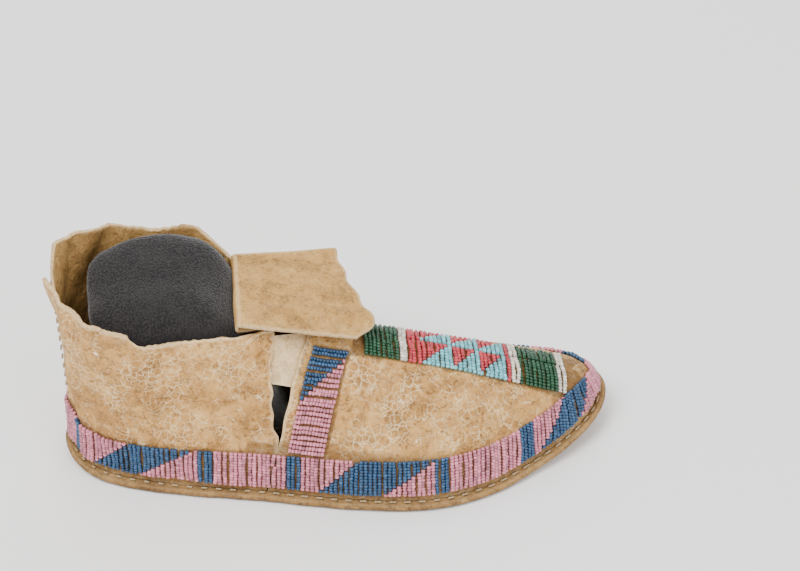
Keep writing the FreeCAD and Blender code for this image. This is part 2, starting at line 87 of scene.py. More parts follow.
TOP_INNER = np.array([
    (1 - REAR_SEAM, -9, -2, 69), (0.783, -27, 11, 75), (0.807, -40, 28, 82), (0.828, -51, 38, 90),
    (0.842, -60, 42, 96), (0.875, -80, 45, 95), (0.910, -98, 43, 99), (0.950, -115, 31, 103),
    (0.980, -123, 19, 99), (1.000, -124, 11, 95),
])
INSTEP = np.array([
    (REAR_SEAM, -9, -2, 69), (0.265, 2, -1, 66), (0.300, 21, -1, 60.5), (0.340, 42, -1, 54),
    (0.380, 64, -1, 47.5), (0.420, 85, 0, 40.5), (0.460, 102, 3, 33.5), (0.500, 113, 8, 28.5),
])
FLAP = np.array([
    (0.00, 29.0, 2.0, 41.0, 0.0), (0.25, 20.0, 4.0, 29.0, 0.0), (0.50, 8.0, 10.0, 15.5, 0.2),
    (0.75, -5.0, 13.5, 2.0, 0.8), (0.90, -13.0, 15.0, -6.5, 1.9), (1.00, -18.5, 9.0, -14.5, 3.4),
])
FOLD_X = -43.0
FOLD_Z = 86.0


def through(s, knots):
    """Smooth curve through stations (s, value, ...)."""
    last = len(knots) - 1
    s = min(max(s, knots[0][0]), knots[last][0])
    i = int(min(max(np.searchsorted(knots[:, 0], s) - 1, 0), last - 1))
    before, after = max(i - 1, 0), min(i + 2, last)
    h = knots[i + 1][0] - knots[i][0]
    u = (s - knots[i][0]) / h
    m0 = (knots[i + 1][1:] - knots[before][1:]) / (knots[i + 1][0] - knots[before][0])
    m1 = (knots[after][1:] - knots[i][1:]) / (knots[after][0] - knots[i][0])
    a = 2 * u ** 3 - 3 * u ** 2 + 1
    b = (u ** 3 - 2 * u ** 2 + u) * h
    d = (u ** 3 - u ** 2) * h
    return a * knots[i][1:] + b * m0 + (1 - a) * knots[i + 1][1:] + d * m1


PLAN_ROUND = np.vstack([PLAN[-2] - [1, 0, 0], PLAN, PLAN[1] + [1, 0, 0]])


def plan(s, inset=0.0):
    x, y = through(s % 1.0, PLAN_ROUND)
    x0, y0 = through((s - 0.002) % 1.0, PLAN_ROUND)
    x1, y1 = through((s + 0.002) % 1.0, PLAN_ROUND)
    tangent = np.array([(x1 - x0) * LENGTH, (y1 - y0) * WIDTH])
    tangent /= np.linalg.norm(tangent)
    return np.array([x * LENGTH - inset * tangent[1], y * WIDTH + inset * tangent[0]])


def lift(x):
    front = max(0.0, (x - 0.26 * LENGTH) / (0.24 * LENGTH))
    rear = max(0.0, (-0.42 * LENGTH - x) / (0.08 * LENGTH))
    return TOE_SPRING * front ** 1.8 + HEEL_LIFT * rear ** 1.6


def frontness(s):
    edge = min(s, 1 - s)
    share = min(max((edge - FRONT_START) / (REAR_SEAM - FRONT_START), 0.0), 1.0)
    return share * share * (3 - 2 * share)


def top(s):
    if REAR_SEAM <= s <= 1 - REAR_SEAM:
        return through(min(s, 1 - s), INSTEP)
    if s < REAR_SEAM:
        return through(s, TOP_OUTER)
    return through(s, TOP_INNER)


def upper(s, v, depth=0.0):
    """Points of the upper at station s and heights v (a number or an array)."""
    v = np.asarray(v, float)
    w = frontness(s)
    base = plan(s, MARGIN + depth)
    inward = (plan(s, 1.0) - plan(s, 0.0)) * depth * (1 - w)
    ridge = top(s)
    tx, ty, tz = ridge[0] + inward[0], ridge[1] + inward[1], ridge[2] - depth * w
    bz = SOLE_THICK + SOLE_GAP + lift(base[0])
    angle = np.clip(v, 0, 1) * math.pi / 2
    across = (1 - w) * v ** WALL_POWER + w * (1 - np.maximum(np.cos(angle), 0) ** (2 / FRONT_POWER))
    rise = (1 - w) * v + w * np.sin(angle) ** (2 / FRONT_POWER)
    x = base[0] + (tx - base[0]) * across
    y = base[1] + (ty - base[1]) * across
    return np.stack([x, y, bz + (tz - bz) * rise], axis=-1)


def seam_s(v):
    return REAR_SEAM - 0.029 * (1 - v)


# ---------------------------------------------------------------- meshes


def smoothstep(low, high, value):
    t = np.clip((value - low) / (high - low), 0, 1)
    return t * t * (3 - 2 * t)


def cloud(points, scale, seed, octaves=3):
    """Fractal noise between about -1 and 1 at points in mm."""
    shift = Vector((seed * 17.3, seed * 5.1, -seed * 9.7))
    out = np.empty(len(points))
    for i, p in enumerate(points):
        out[i] = noise.fractal(Vector(p) * (1.0 / scale) + shift, 1.0, 2.0, octaves)
    return out


def make_object(name, verts_mm, faces, smooth=True, attributes=None):
    mesh = bpy.data.meshes.new(name)
    mesh.from_pydata([tuple(p) for p in np.asarray(verts_mm) * MM], [], [tuple(f) for f in faces])
    for key, values in (attributes or {}).items():
        layer = mesh.attributes.new(key, "FLOAT", "POINT")
        layer.data.foreach_set("value", np.asarray(values, np.float32))
    if smooth:
        mesh.polygons.foreach_set("use_smooth", [True] * len(mesh.polygons))
    mesh.update()
    obj = bpy.data.objects.new(name, mesh)
    bpy.context.scene.collection.objects.link(obj)
    return obj


def grid_faces(rows, columns, keep=None):
    faces = []
    for i in range(rows - 1):
        for j in range(columns - 1):
            if keep is None or keep[i, j]:
                a = i * columns + j
                faces.append((a, a + columns, a + columns + 1, a + 1))
    return faces


def surface_normals(grid):
    du = np.gradient(grid, axis=0)
    dv = np.gradient(grid, axis=1)
    n = np.cross(du, dv)
    length = np.linalg.norm(n, axis=2, keepdims=True)
    return n / np.maximum(length, 1e-9)


def thicken(obj, thickness, inner=1, rim=2):
    mod = obj.modifiers.new("thickness", "SOLIDIFY")
    mod.thickness = thickness * MM
    mod.offset = -1.0
    mod.use_even_offset = False
    mod.material_offset = inner
    mod.material_offset_rim = rim
    return mod


def drop_loose(obj):
    bm = bmesh.new()
    bm.from_mesh(obj.data)
    loose = [v for v in bm.verts if not v.link_faces]
    bmesh.ops.delete(bm, geom=loose, context="VERTS")
    bm.to_mesh(obj.data)
    bm.free()


# ---------------------------------------------------------------- materials


class Nodes:
    """Small helper round a material's node tree."""

    def __init__(self, name):
        self.material = bpy.data.materials.new(name)
        self.material.use_nodes = True
        self.tree = self.material.node_tree
        self.tree.nodes.clear()
        output = self.tree.nodes.new("ShaderNodeOutputMaterial")
        self.shader = self.tree.nodes.new("ShaderNodeBsdfPrincipled")
        self.join(self.shader.outputs[0], output.inputs["Surface"])
        coords = self.tree.nodes.new("ShaderNodeTexCoord")
        scale = self.tree.nodes.new("ShaderNodeVectorMath")
        scale.operation = "SCALE"
        scale.inputs["Scale"].default_value = 1000.0
        self.join(coords.outputs["Object"], scale.inputs[0])
        self.place = scale.outputs[0]

    def join(self, source, target):
        self.tree.links.new(source, target)

    def value(self, target, source):
        if isinstance(source, (int, float, tuple)):
            target.default_value = source
        else:
            self.join(source, target)

    def noise(self, size_mm, detail=4.0, rough=0.55, distort=0.0, stretch=None, vector=None):
        node = self.tree.nodes.new("ShaderNodeTexNoise")
        node.inputs["Scale"].default_value = 1.0 / size_mm
        node.inputs["Detail"].default_value = detail
        node.inputs["Roughness"].default_value = rough
        node.inputs["Distortion"].default_value = distort
        self.join(self.stretched(stretch, vector), node.inputs["Vector"])
        return node.outputs["Fac"]

    def stretched(self, stretch, vector=None):
        vector = vector or self.place
        if stretch is None:
            return vector
        node = self.tree.nodes.new("ShaderNodeMapping")
        node.inputs["Scale"].default_value = stretch
        node.inputs["Rotation"].default_value = (0.3, 0.5, 0.2)
        self.join(vector, node.inputs["Vector"])
        return node.outputs[0]

    def warped(self, size_mm, amount):
        node = self.tree.nodes.new("ShaderNodeTexNoise")
        node.inputs["Scale"].default_value = 1.0 / size_mm
        node.inputs["Detail"].default_value = 3.0
        self.join(self.place, node.inputs["Vector"])
        shift = self.tree.nodes.new("ShaderNodeVectorMath")
        shift.operation = "MULTIPLY_ADD"
        shift.inputs[1].default_value = (amount, amount, amount)
        self.join(node.outputs["Color"], shift.inputs[0])
        self.join(self.place, shift.inputs[2])
        return shift.outputs[0]

    def veins(self, size_mm, vector, width):
        """1 on the thin lines between cells, 0 elsewhere."""
        node = self.tree.nodes.new("ShaderNodeTexVoronoi")
        node.feature = "DISTANCE_TO_EDGE"
        node.inputs["Scale"].default_value = 1.0 / size_mm
        self.join(vector, node.inputs["Vector"])
        return self.ramp(node.outputs["Distance"], 0.0, width, 1.0, 0.0)

    def cells(self, size_mm, vector=None):
        node = self.tree.nodes.new("ShaderNodeTexVoronoi")
        node.inputs["Scale"].default_value = 1.0 / size_mm
        self.join(vector or self.place, node.inputs["Vector"])
        return node.outputs["Distance"]

    def ramp(self, source, low, high, out_low=0.0, out_high=1.0):
        node = self.tree.nodes.new("ShaderNodeMapRange")
        node.interpolation_type = "SMOOTHSTEP"
        self.join(source, node.inputs["Value"])
        node.inputs["From Min"].default_value = low
        node.inputs["From Max"].default_value = high
        node.inputs["To Min"].default_value = out_low
        node.inputs["To Max"].default_value = out_high
        return node.outputs["Result"]

    def colours(self, source, stops):
        node = self.tree.nodes.new("ShaderNodeValToRGB")
        elements = node.color_ramp.elements
        while len(elements) < len(stops):
            elements.new(0.5)
        for element, (position, colour) in zip(elements, stops):
            element.position = position
            element.color = (*colour, 1.0)
        self.join(source, node.inputs["Fac"])
        return node.outputs["Color"]

    def mix(self, factor, a, b, kind="MIX"):
        node = self.tree.nodes.new("ShaderNodeMix")
        node.data_type = "RGBA"
        node.blend_type = kind
        self.value(node.inputs[0], factor)
        for socket, source in ((node.inputs[6], a), (node.inputs[7], b)):
            if isinstance(source, tuple):
                socket.default_value = (*source, 1.0)
            else:
                self.join(source, socket)
        return node.outputs[2]

    def maths(self, kind, a, b):
        node = self.tree.nodes.new("ShaderNodeMath")
        node.operation = kind
        self.value(node.inputs[0], a)
        self.value(node.inputs[1], b)
        return node.outputs[0]

    def attribute(self, name):
        node = self.tree.nodes.new("ShaderNodeAttribute")
        node.attribute_name = name
        return node.outputs["Fac"]

    def bump(self, heights):
        """heights: list of (source, depth in mm)."""
        normal = None
        for source, depth in heights:
            node = self.tree.nodes.new("ShaderNodeBump")
            node.inputs["Strength"].default_value = 1.0
            node.inputs["Distance"].default_value = depth * MM
            self.join(source, node.inputs["Height"])
            if normal is not None:
                self.join(normal, node.inputs["Normal"])
            normal = node.outputs[0]
        self.join(normal, self.shader.inputs["Normal"])


def hide_material(name, dark, middle, light, vein, wear=1.0, veiny=1.0):
    n = Nodes(name)
    broad = n.noise(30.0, 3.0, 0.6, 0.4)
    patch = n.noise(7.0, 5.0, 0.62, 0.6)
    grain = n.noise(1.1, 3.0, 0.6)
    body = n.maths("ADD", n.maths("MULTIPLY", broad, 0.45), n.maths("MULTIPLY", patch, 0.55))
    colour = n.colours(body, [(0.34, dark), (0.47, middle), (0.62, light)])
    # brown mottling and darker handled patches
    mottle = n.ramp(n.noise(3.2, 6.0, 0.7, 1.2), 0.50, 0.64, 0.0, 0.75 * wear)
    colour = n.mix(mottle, colour, tuple(0.55 * c for c in dark))
    stain = n.ramp(n.noise(20.0, 4.0, 0.65, 1.5), 0.50, 0.66, 0.0, 0.6 * wear)
    colour = n.mix(stain, colour, tuple(0.7 * c for c in dark))
    # pale crackle in the grain layer and longer scratches
    where = n.ramp(n.noise(16.0, 3.0, 0.6), 0.42, 0.58, 0.0, 1.0)
    crackle = n.maths("MULTIPLY", n.veins(3.6, n.warped(2.2, 2.6), 0.09), where)
    scratch = n.veins(15.0, n.stretched((1.0, 1.0, 2.2), n.warped(7.0, 11.0)), 0.022)
    scratch = n.maths("MULTIPLY", scratch, n.ramp(n.noise(9.0, 2.0), 0.45, 0.6, 0.0, 1.0))
    lines = n.maths("MAXIMUM", n.maths("MULTIPLY", crackle, 0.55 * veiny),
                    n.maths("MULTIPLY", scratch, 0.85 * veiny))
    colour = n.mix(lines, colour, vein)
    colour = n.mix(n.ramp(grain, 0.35, 0.7, 0.0, 0.35), colour, tuple(1.15 * c for c in light))
    # pale cut edges; grime and painted shade darken the creases and the hide under the beads
    colour = n.mix(n.maths("MULTIPLY", n.attribute("edge"), 0.6), colour, vein)
    colour = n.mix(n.maths("MULTIPLY", n.attribute("grime_and_shade"), 0.65), colour,
                   tuple(0.35 * c for c in dark))
    n.join(colour, n.shader.inputs["Base Color"])
    n.join(n.ramp(patch, 0.3, 0.7, 0.62, 0.85), n.shader.inputs["Roughness"])
    n.shader.inputs["Specular IOR Level"].default_value = 0.28
    n.bump([(n.noise(5.0, 5.0, 0.6, 0.8), 0.9), (grain, 0.16), (lines, -0.18)])
    return n.material


def bead_material(name, colour, rough=0.28):
    n = Nodes(name)
    tint = n.attribute("tint")
    dark = tuple(0.50 * c for c in colour)
    light = tuple(min(1.0, 1.45 * c + 0.02) for c in colour)
    shade = n.colours(tint, [(0.0, dark), (0.5, colour), (1.0, light)])
    dirt = n.ramp(n.noise(1.6, 3.0), 0.5, 0.75, 0.0, 0.35)
    shade = n.mix(dirt, shade, tuple(0.3 * c for c in colour))
    n.join(shade, n.shader.inputs["Base Color"])
    n.join(n.ramp(n.noise(2.5, 2.0), 0.3, 0.7, rough - 0.06, rough + 0.16),
           n.shader.inputs["Roughness"])
    n.shader.inputs["IOR"].default_value = 1.5
    n.bump([(n.noise(0.7, 2.0), 0.05)])
    return n.material


def plain_fibre(name, dark, light, size_mm, rough=0.9, depth=0.15):
    n = Nodes(name)
    grain = n.noise(size_mm, 4.0, 0.65)
    n.join(n.colours(grain, [(0.3, dark), (0.7, light)]), n.shader.inputs["Base Color"])
    n.shader.inputs["Roughness"].default_value = rough
    n.bump([(grain, depth)])
    return n.material


def knit_material(name):
    n = Nodes(name)
    pebble = n.cells(0.85, n.warped(0.8, 0.4))
    broad = n.noise(12.0, 3.0)
    colour = n.colours(pebble, [(0.05, (0.036, 0.032, 0.032)), (0.6, (0.009, 0.008, 0.008))])
    colour = n.mix(n.ramp(broad, 0.45, 0.7, 0.0, 0.4), colour, (0.026, 0.023, 0.023))
    n.join(colour, n.shader.inputs["Base Color"])
    n.shader.inputs["Roughness"].default_value = 0.95
    n.shader.inputs["Sheen Weight"].default_value = 0.25
    n.shader.inputs["Specular IOR Level"].default_value = 0.2
    n.bump([(pebble, -0.35)])
    return n.material


HIDE_OUT = hide_material("hide_grain_side", (0.215, 0.088, 0.018), (0.470, 0.235, 0.064),
                         (0.66, 0.385, 0.130), (0.90, 0.70, 0.42), 1.0, 1.25)
HIDE_IN = hide_material("hide_flesh_side", (0.165, 0.078, 0.019), (0.31, 0.170, 0.050),
                        (0.41, 0.240, 0.082), (0.56, 0.38, 0.18), 0.8, 0.3)
HIDE_EDGE = plain_fibre("hide_cut_edge", (0.44, 0.27, 0.11), (0.76, 0.56, 0.31), 1.2)
HIDE_PALE = hide_material("hide_pale", (0.38, 0.22, 0.085), (0.68, 0.46, 0.22),
                          (0.82, 0.61, 0.34), (0.92, 0.78, 0.56), 0.6, 0.5)
HIDE_FLAP = hide_material("hide_tongue", (0.215, 0.105, 0.025), (0.445, 0.240, 0.066),
                          (0.58, 0.345, 0.108), (0.76, 0.54, 0.27), 0.8, 0.25)
RAWHIDE = hide_material("rawhide", (0.090, 0.040, 0.010), (0.215, 0.108, 0.032),
                        (0.36, 0.205, 0.072), (0.60, 0.41, 0.19), 1.0, 0.6)
BEADS = {
    "pink": bead_material("beads_pink", (0.560, 0.205, 0.265), 0.32),
    "blue": bead_material("beads_blue", (0.018, 0.068, 0.155), 0.24),
    "green": bead_material("beads_green", (0.008, 0.064, 0.025), 0.24),
    "white": bead_material("beads_white", (0.62, 0.58, 0.50), 0.34),
    "red": bead_material("beads_red", (0.46, 0.040, 0.055), 0.28),
    "turquoise": bead_material("beads_turquoise", (0.16, 0.47, 0.52), 0.32),
}
SINEW = plain_fibre("sinew", (0.20, 0.13, 0.06), (0.50, 0.38, 0.22), 0.8, 0.6)
KNIT = knit_material("black_knit")
BATTING = plain_fibre("batting", (0.34, 0.34, 0.33), (0.62, 0.62, 0.60), 1.8, 1.0, 0.6)
THREAD = plain_fibre("dark_thread", (0.01, 0.01, 0.012), (0.05, 0.05, 0.055), 0.5)


def dress(obj, *materials):
    obj.data.materials.clear()
    for material in materials:
        obj.data.materials.append(material)


# ---------------------------------------------------------------- hide sheets


def face_out(obj, centre_mm, weld=True):
    """Welds doubled points and turns every face away from a point inside the shoe."""
    bm = bmesh.new()
    bm.from_mesh(obj.data)
    if weld:
        bmesh.ops.remove_doubles(bm, verts=bm.verts, dist=0.00002)
    bmesh.ops.recalc_face_normals(bm, faces=bm.faces)
    centre = Vector(centre_mm) * MM
    lean = sum(f.normal.dot(f.calc_center_median() - centre) * f.calc_area() for f in bm.faces)
    if lean < 0:
        bmesh.ops.reverse_faces(bm, faces=bm.faces)
    bm.normal_update()
    bm.to_mesh(obj.data)
    bm.free()
    obj.data.update()


def points_of(obj):
    co = np.empty(len(obj.data.vertices) * 3, np.float32)
    obj.data.vertices.foreach_get("co", co)
    return co.reshape(-1, 3) / MM


def normals_of(obj):
    n = np.empty(len(obj.data.vertices) * 3, np.float32)
    obj.data.vertex_normals.foreach_get("vector", n)
    return n.reshape(-1, 3)


def move_points(obj, points_mm):
    obj.data.vertices.foreach_set("co", (np.asarray(points_mm) * MM).astype(np.float32).ravel())
    obj.data.update()


def border_distance(obj, reach):
    """Distance in mm of each point from the sheet's free border, up to reach."""
    bm = bmesh.new()
    bm.from_mesh(obj.data)
    bm.verts.ensure_lookup_table()
    far = np.full(len(bm.verts), float(reach))
    front = []
    for v in bm.verts:
        if any(e.is_boundary for e in v.link_edges):
            far[v.index] = 0.0
            front.append(v)
    while front:
        following = []
        for v in front:
            for e in v.link_edges:
                other = e.other_vert(v)
                d = far[v.index] + e.calc_length() / MM
                if d < far[other.index] - 1e-4:
                    far[other.index] = d
                    following.append(other)
        front = following
    bm.free()
    return far


def rough_up(obj, amount, seed, size=22.0, hold=0.0):
    """Moves the sheet in and out in soft dents and small puckers; hold keeps the border still."""
    p = points_of(obj)
    n = normals_of(obj)
    dents = cloud(p, size, seed, 2) * amount
    puckers = cloud(p * np.array([1.0, 1.0, 0.6]), size * 0.28, seed + 3, 3) * amount * 0.35
    out = dents + puckers
    if hold > 0:
        out *= smoothstep(0.0, hold, border_distance(obj, hold))
    move_points(obj, p + n * out[:, None])
    return out


def set_attribute(obj, name, values):
    layer = obj.data.attributes.get(name) or obj.data.attributes.new(name, "FLOAT", "POINT")
    layer.data.foreach_set("value", np.asarray(values, np.float32))


def leather_sheet(name, points, faces, seed, dent, edge_reach=1.6, grime_and_shade=None, centre=(0, 5, 35),
                  thickness=HIDE, materials=None, hold=3.0, size=22.0):
    obj = make_object(name, points, faces)
    if grime_and_shade is not None:
        set_attribute(obj, "grime_and_shade", grime_and_shade)
    face_out(obj, centre)
    drop_loose(obj)
    rough_up(obj, dent, seed, size, hold)
    border = border_distance(obj, 6.0)
    ragged = cloud(points_of(obj), 2.6, seed + 9, 2)
    set_attribute(obj, "edge", smoothstep(edge_reach, 0.0, border + ragged * 0.5))
    if grime_and_shade is None:
        set_attribute(obj, "grime_and_shade", np.zeros(len(obj.data.vertices)))
    thicken(obj, thickness)
    dress(obj, *(materials or (HIDE_OUT, HIDE_IN, HIDE_EDGE)))
    return obj


def beaded_mask(s, v):
    """1 under the beads, where the hide is stained and darkened with painted shade."""
    near = min(s, 1 - s)
    band = smoothstep(0.30, 0.26, v * (0.9 if near > 0.2 else 1.05)) if near < 0.44 else 0.6
    strip = np.where((near > 0.223 + 0.029 * v) & (near < 0.252 + 0.029 * v) & (v < 0.8), 1.0, 0.0)
    return np.maximum(band * 0.9, strip)


def front_sheet():
    """Front of the upper: one sheet from the outer sole seam over the instep to the inner one."""
    rows, up = 190, 62
    heights = np.linspace(0, 1, up)
    grid = np.zeros((rows, 2 * up - 1, 3))
    grime_and_shade = np.zeros((rows, 2 * up - 1))
    for i in range(rows):
        a = i / (rows - 1)
        for j, v in enumerate(heights):
            start = seam_s(v) + 0.0004 * math.sin(41 * v)
            s = start + (0.5 - start) * a
            grid[i, j] = upper(s, v)
            if j < up - 1:
                grid[i, 2 * up - 2 - j] = upper(1 - s, v)
            mask = beaded_mask(s, np.array([v]))[0]
            grime_and_shade[i, j] = grime_and_shade[i, 2 * up - 2 - j] = mask
    # painted shade and stain: the hide along the instep bead strip is darkened too
    crest = np.abs(np.linspace(-1, 1, 2 * up - 1))
    for i in range(rows):
        x = grid[i, up - 1, 0]
        if 10 < x < 108:
            reach = np.abs(grid[i, :, 1] - grid[i, up - 1, 1])
            grime_and_shade[i] = np.maximum(grime_and_shade[i], np.where((reach < 11.5) & (crest < 0.6), 1.0, 0.0))
    faces = grid_faces(rows, 2 * up - 1)
    return leather_sheet("vamp_hide", grid.reshape(-1, 3), faces, 1, 0.75, grime_and_shade=grime_and_shade.ravel())


HEEL_GAP_LOW = 0.76


def rear_sheet(name, inner_side, seed):
    """Ankle part of the upper, from the heel seam to the side seam, up to the worn rim."""
    rows, up = 170, 100
    grid = np.zeros((rows, up, 3))
    grime_and_shade = np.zeros((rows, up))
    keep = np.ones((rows - 1, up - 1), bool)
    for i in range(rows):
        a = i / (rows - 1)
        wobble = noise.noise(Vector((a * 19.0, seed, 0.0)))
        nick = noise.noise(Vector((a * 60.0, seed, 4.0)))
        for j in range(up):
            v = j / (up - 1)
            open_heel = 0.0010
            if v > HEEL_GAP_LOW:
                widest = 0.030 if inner_side else 0.006
                open_heel += widest * (v - HEEL_GAP_LOW) / (1 - HEEL_GAP_LOW)
            end = seam_s(v) - 0.0012
            if not inner_side:
                jag = 0.0007 * math.sin(60 * v) + 0.0006 * math.sin(23 * v + 1)
                slit = SLIT_S + 0.004 * smoothstep(SLIT_TOP, SLIT_LOW, v) + jag
                end += (slit - end) * smoothstep(SLIT_LOW - 0.02, SLIT_LOW + 0.035, v)
            s = open_heel + (end - open_heel) * a
            rise = v * (1 - 0.010 * (1 + wobble) - 0.006 * (1 + nick))
            grid[i, j] = upper(1 - s if inner_side else s, rise)
            # painted shade and stain on the hide under the beads
            grime_and_shade[i, j] = beaded_mask(s, np.array([v]))[0]
    if inner_side:
        for i in range(rows - 1):
            for j in range(up - 1):
                if np.linalg.norm(grid[i, j] - np.array([-47.0, 33.5, 83.5])) < 1.7:
                    keep[i, j] = False
    lean = collar_curl(grid, inner_side)
    faces = grid_faces(rows, up, keep)
    return leather_sheet(name, lean.reshape(-1, 3), faces, seed, 1.0, grime_and_shade=grime_and_shade.ravel(), hold=1.0)


def collar_curl(grid, inner_side):
    """The worn collar leans out in places and has soft vertical folds near the heel."""
    out = surface_normals(grid)
    if inner_side:
        out = -out
    heights = np.linspace(0, 1, grid.shape[1])[None, :]
    along = np.linspace(0, 1, grid.shape[0])[:, None]
    near_rim = smoothstep(0.62, 1.0, heights)
    waves = 1.1 * np.sin(along * 23.0 + 0.6) + 0.8 * np.sin(along * 41.0 + heights * 3.0)
    heel = smoothstep(0.5, 0.05, along)
    folds = 0.9 * np.sin(along * 34.0 + heights * 7.0) * smoothstep(0.9, 0.35, heights)
    amount = near_rim * waves * (0.45 + 0.75 * heel) + folds * heel * 0.8
    # the torn corner at the heel leans outward and stands a little higher
    ear = smoothstep(0.74, 1.0, heights) * smoothstep(0.085, 0.0, along)
    amount = amount + ear * (2.0 if inner_side else 3.6)
    raised = np.zeros_like(grid)
    raised[:, :, 2] = ear * (2.0 if inner_side else 3.5)
    return grid + out * amount[:, :, None] + raised


def gusset_sheet():
    rows, up = 26, 40
    grid = np.zeros((rows, up, 3))
    for i in range(rows):
        for j in range(up):
            v = SLIT_TOP - 0.02 + (0.97 - SLIT_TOP) * j / (up - 1)
            v += 0.035 * i / (rows - 1) * (1 - j / (up - 1)) * -1.0
            start = SLIT_S - 0.005
            s = start + (seam_s(v) + 0.004 - start) * i / (rows - 1)
            grid[i, j] = upper(s, v, HIDE + 0.4)
    return leather_sheet("gusset_hide", grid.reshape(-1, 3), grid_faces(rows, up), 31, 0.35,
                         thickness=1.2, materials=(HIDE_PALE, HIDE_IN, HIDE_EDGE), size=12.0)


def base_sheet():
    """Tongue between the throat edges, back to the fold."""
    rows, across = 34, 34
    grid = np.zeros((rows, across, 3))
    gap = HIDE + 0.6
    start, end = 0.238, 0.1925
    for i in range(rows):
        a = i / (rows - 1)
        near = top(start + (end - start) * a)
        far = np.array(top(1 - start + (start - end) * 1.08 * a))
        for j in range(across):
            b = j / (across - 1)
            y = near[1] + gap + (far[1] - near[1] - 2 * gap) * b
            arch = 4 * b * (1 - b) * 0.03 * (far[1] - near[1])
            grid[i, j] = (near[0], y, near[2] + (far[2] - near[2]) * b + arch)
    return leather_sheet("tongue_base_hide", grid.reshape(-1, 3), grid_faces(rows, across), 41, 0.3,
                         centre=(-30, 5, 20), materials=(HIDE_FLAP, HIDE_IN, HIDE_EDGE), size=14.0)


def flap_point(a, b):
    """Top of the flap: a from the fold to the front edge, b from the inner to the outer side."""
    fold_y, front_x, front_y, droop = through(b, FLAP)
    front_x += 1.2 * math.sin(b * 9.0) + 0.8 * math.sin(b * 23.0 + 1.0)
    x = FOLD_X + (front_x - FOLD_X) * a
    y = fold_y + (front_y - fold_y) * a
    z = FOLD_Z - 0.19 * (x - FOLD_X) - droop * a ** 0.8 - 4.0 * b + HIDE
    # a crease runs forward along the outer side, and the sheet is slightly dished
    z += 1.1 * math.exp(-((b - 0.80) / 0.05) ** 2) * smoothstep(0.05, 0.5, a)
    z -= 0.9 * math.exp(-((b - 0.90) / 0.05) ** 2) * smoothstep(0.1, 0.6, a)
    z += 1.0 * math.exp(-((b - 0.05) / 0.10) ** 2) * smoothstep(0.5, 1.0, a)
    return np.array([x, y, z])


def flap_sheet():
    rows, across = 84, 84
    grid = np.zeros((rows, across, 3))
    for i in range(rows):
        for j in range(across):
            grid[i, j] = flap_point(i / (rows - 1), j / (across - 1))
    faces = grid_faces(rows, across)
    return leather_sheet("tongue_flap_hide", grid.reshape(-1, 3), faces, 51, 0.55, grime_and_shade=None,
                         centre=(-15, 10, 20), materials=(HIDE_FLAP, HIDE_IN, HIDE_EDGE), size=18.0)


def fold_sheet():
    """Rolled hide that joins the back edge of the tongue to the folded flap."""
    around, across = 16, 40
    grid = np.zeros((around, across, 3))
    start, end = 0.238, 0.1925
    near = top(end)
    far = np.array(top(1 - start + (start - end) * 1.08))
    gap = HIDE + 0.6
    for j in range(across):
        b = j / (across - 1)
        flap = flap_point(0.0, 1 - b)
        y_low = near[1] + gap + (far[1] - near[1] - 2 * gap) * b
        arch = 4 * b * (1 - b) * 0.03 * (far[1] - near[1])
        low = np.array([near[0], y_low, near[2] + (far[2] - near[2]) * b + arch - HIDE * 0.5])
        high = flap - np.array([0, 0, HIDE * 0.05])
        middle = (low + high) / 2
        for i in range(around):
            t = i / (around - 1)
            angle = math.pi * t
            p = middle + (high - low) / 2 * -math.cos(angle)
            p[0] -= (1.6 + 0.25 * math.sin(7 * b)) * math.sin(angle)
            grid[i, j] = p
    return leather_sheet("tongue_fold_roll", grid.reshape(-1, 3), grid_faces(around, across), 61,
                         0.12, centre=(0, 5, 82), materials=(HIDE_FLAP, HIDE_IN, HIDE_EDGE),
                         thickness=1.4, size=9.0)


def thong_sheet():
    rows, down = 10, 34
    grid = np.zeros((rows, down, 3))
    for i in range(rows):
        a = i / (rows - 1)
        for j in range(down):
            b = j / (down - 1)
            wide = 0.0052 * (1 - 0.35 * b) * (1 if b < 0.9 else 1 - 4.5 * (b - 0.9))
            s = 0.207 - 0.010 * b + wide * a
            bow = 0.9 * math.sin(math.pi * b) + 0.5 * math.sin(math.pi * a)
            grid[i, j] = upper(s, 0.985 - 0.105 * b - 0.012 * a, -1.2 - bow)
    return leather_sheet("tie_thong_hide", grid.reshape(-1, 3), grid_faces(rows, down), 71, 0.15,
                         thickness=0.9, size=5.0, materials=(HIDE_OUT, HIDE_IN, HIDE_EDGE))


# ---------------------------------------------------------------- rawhide sole


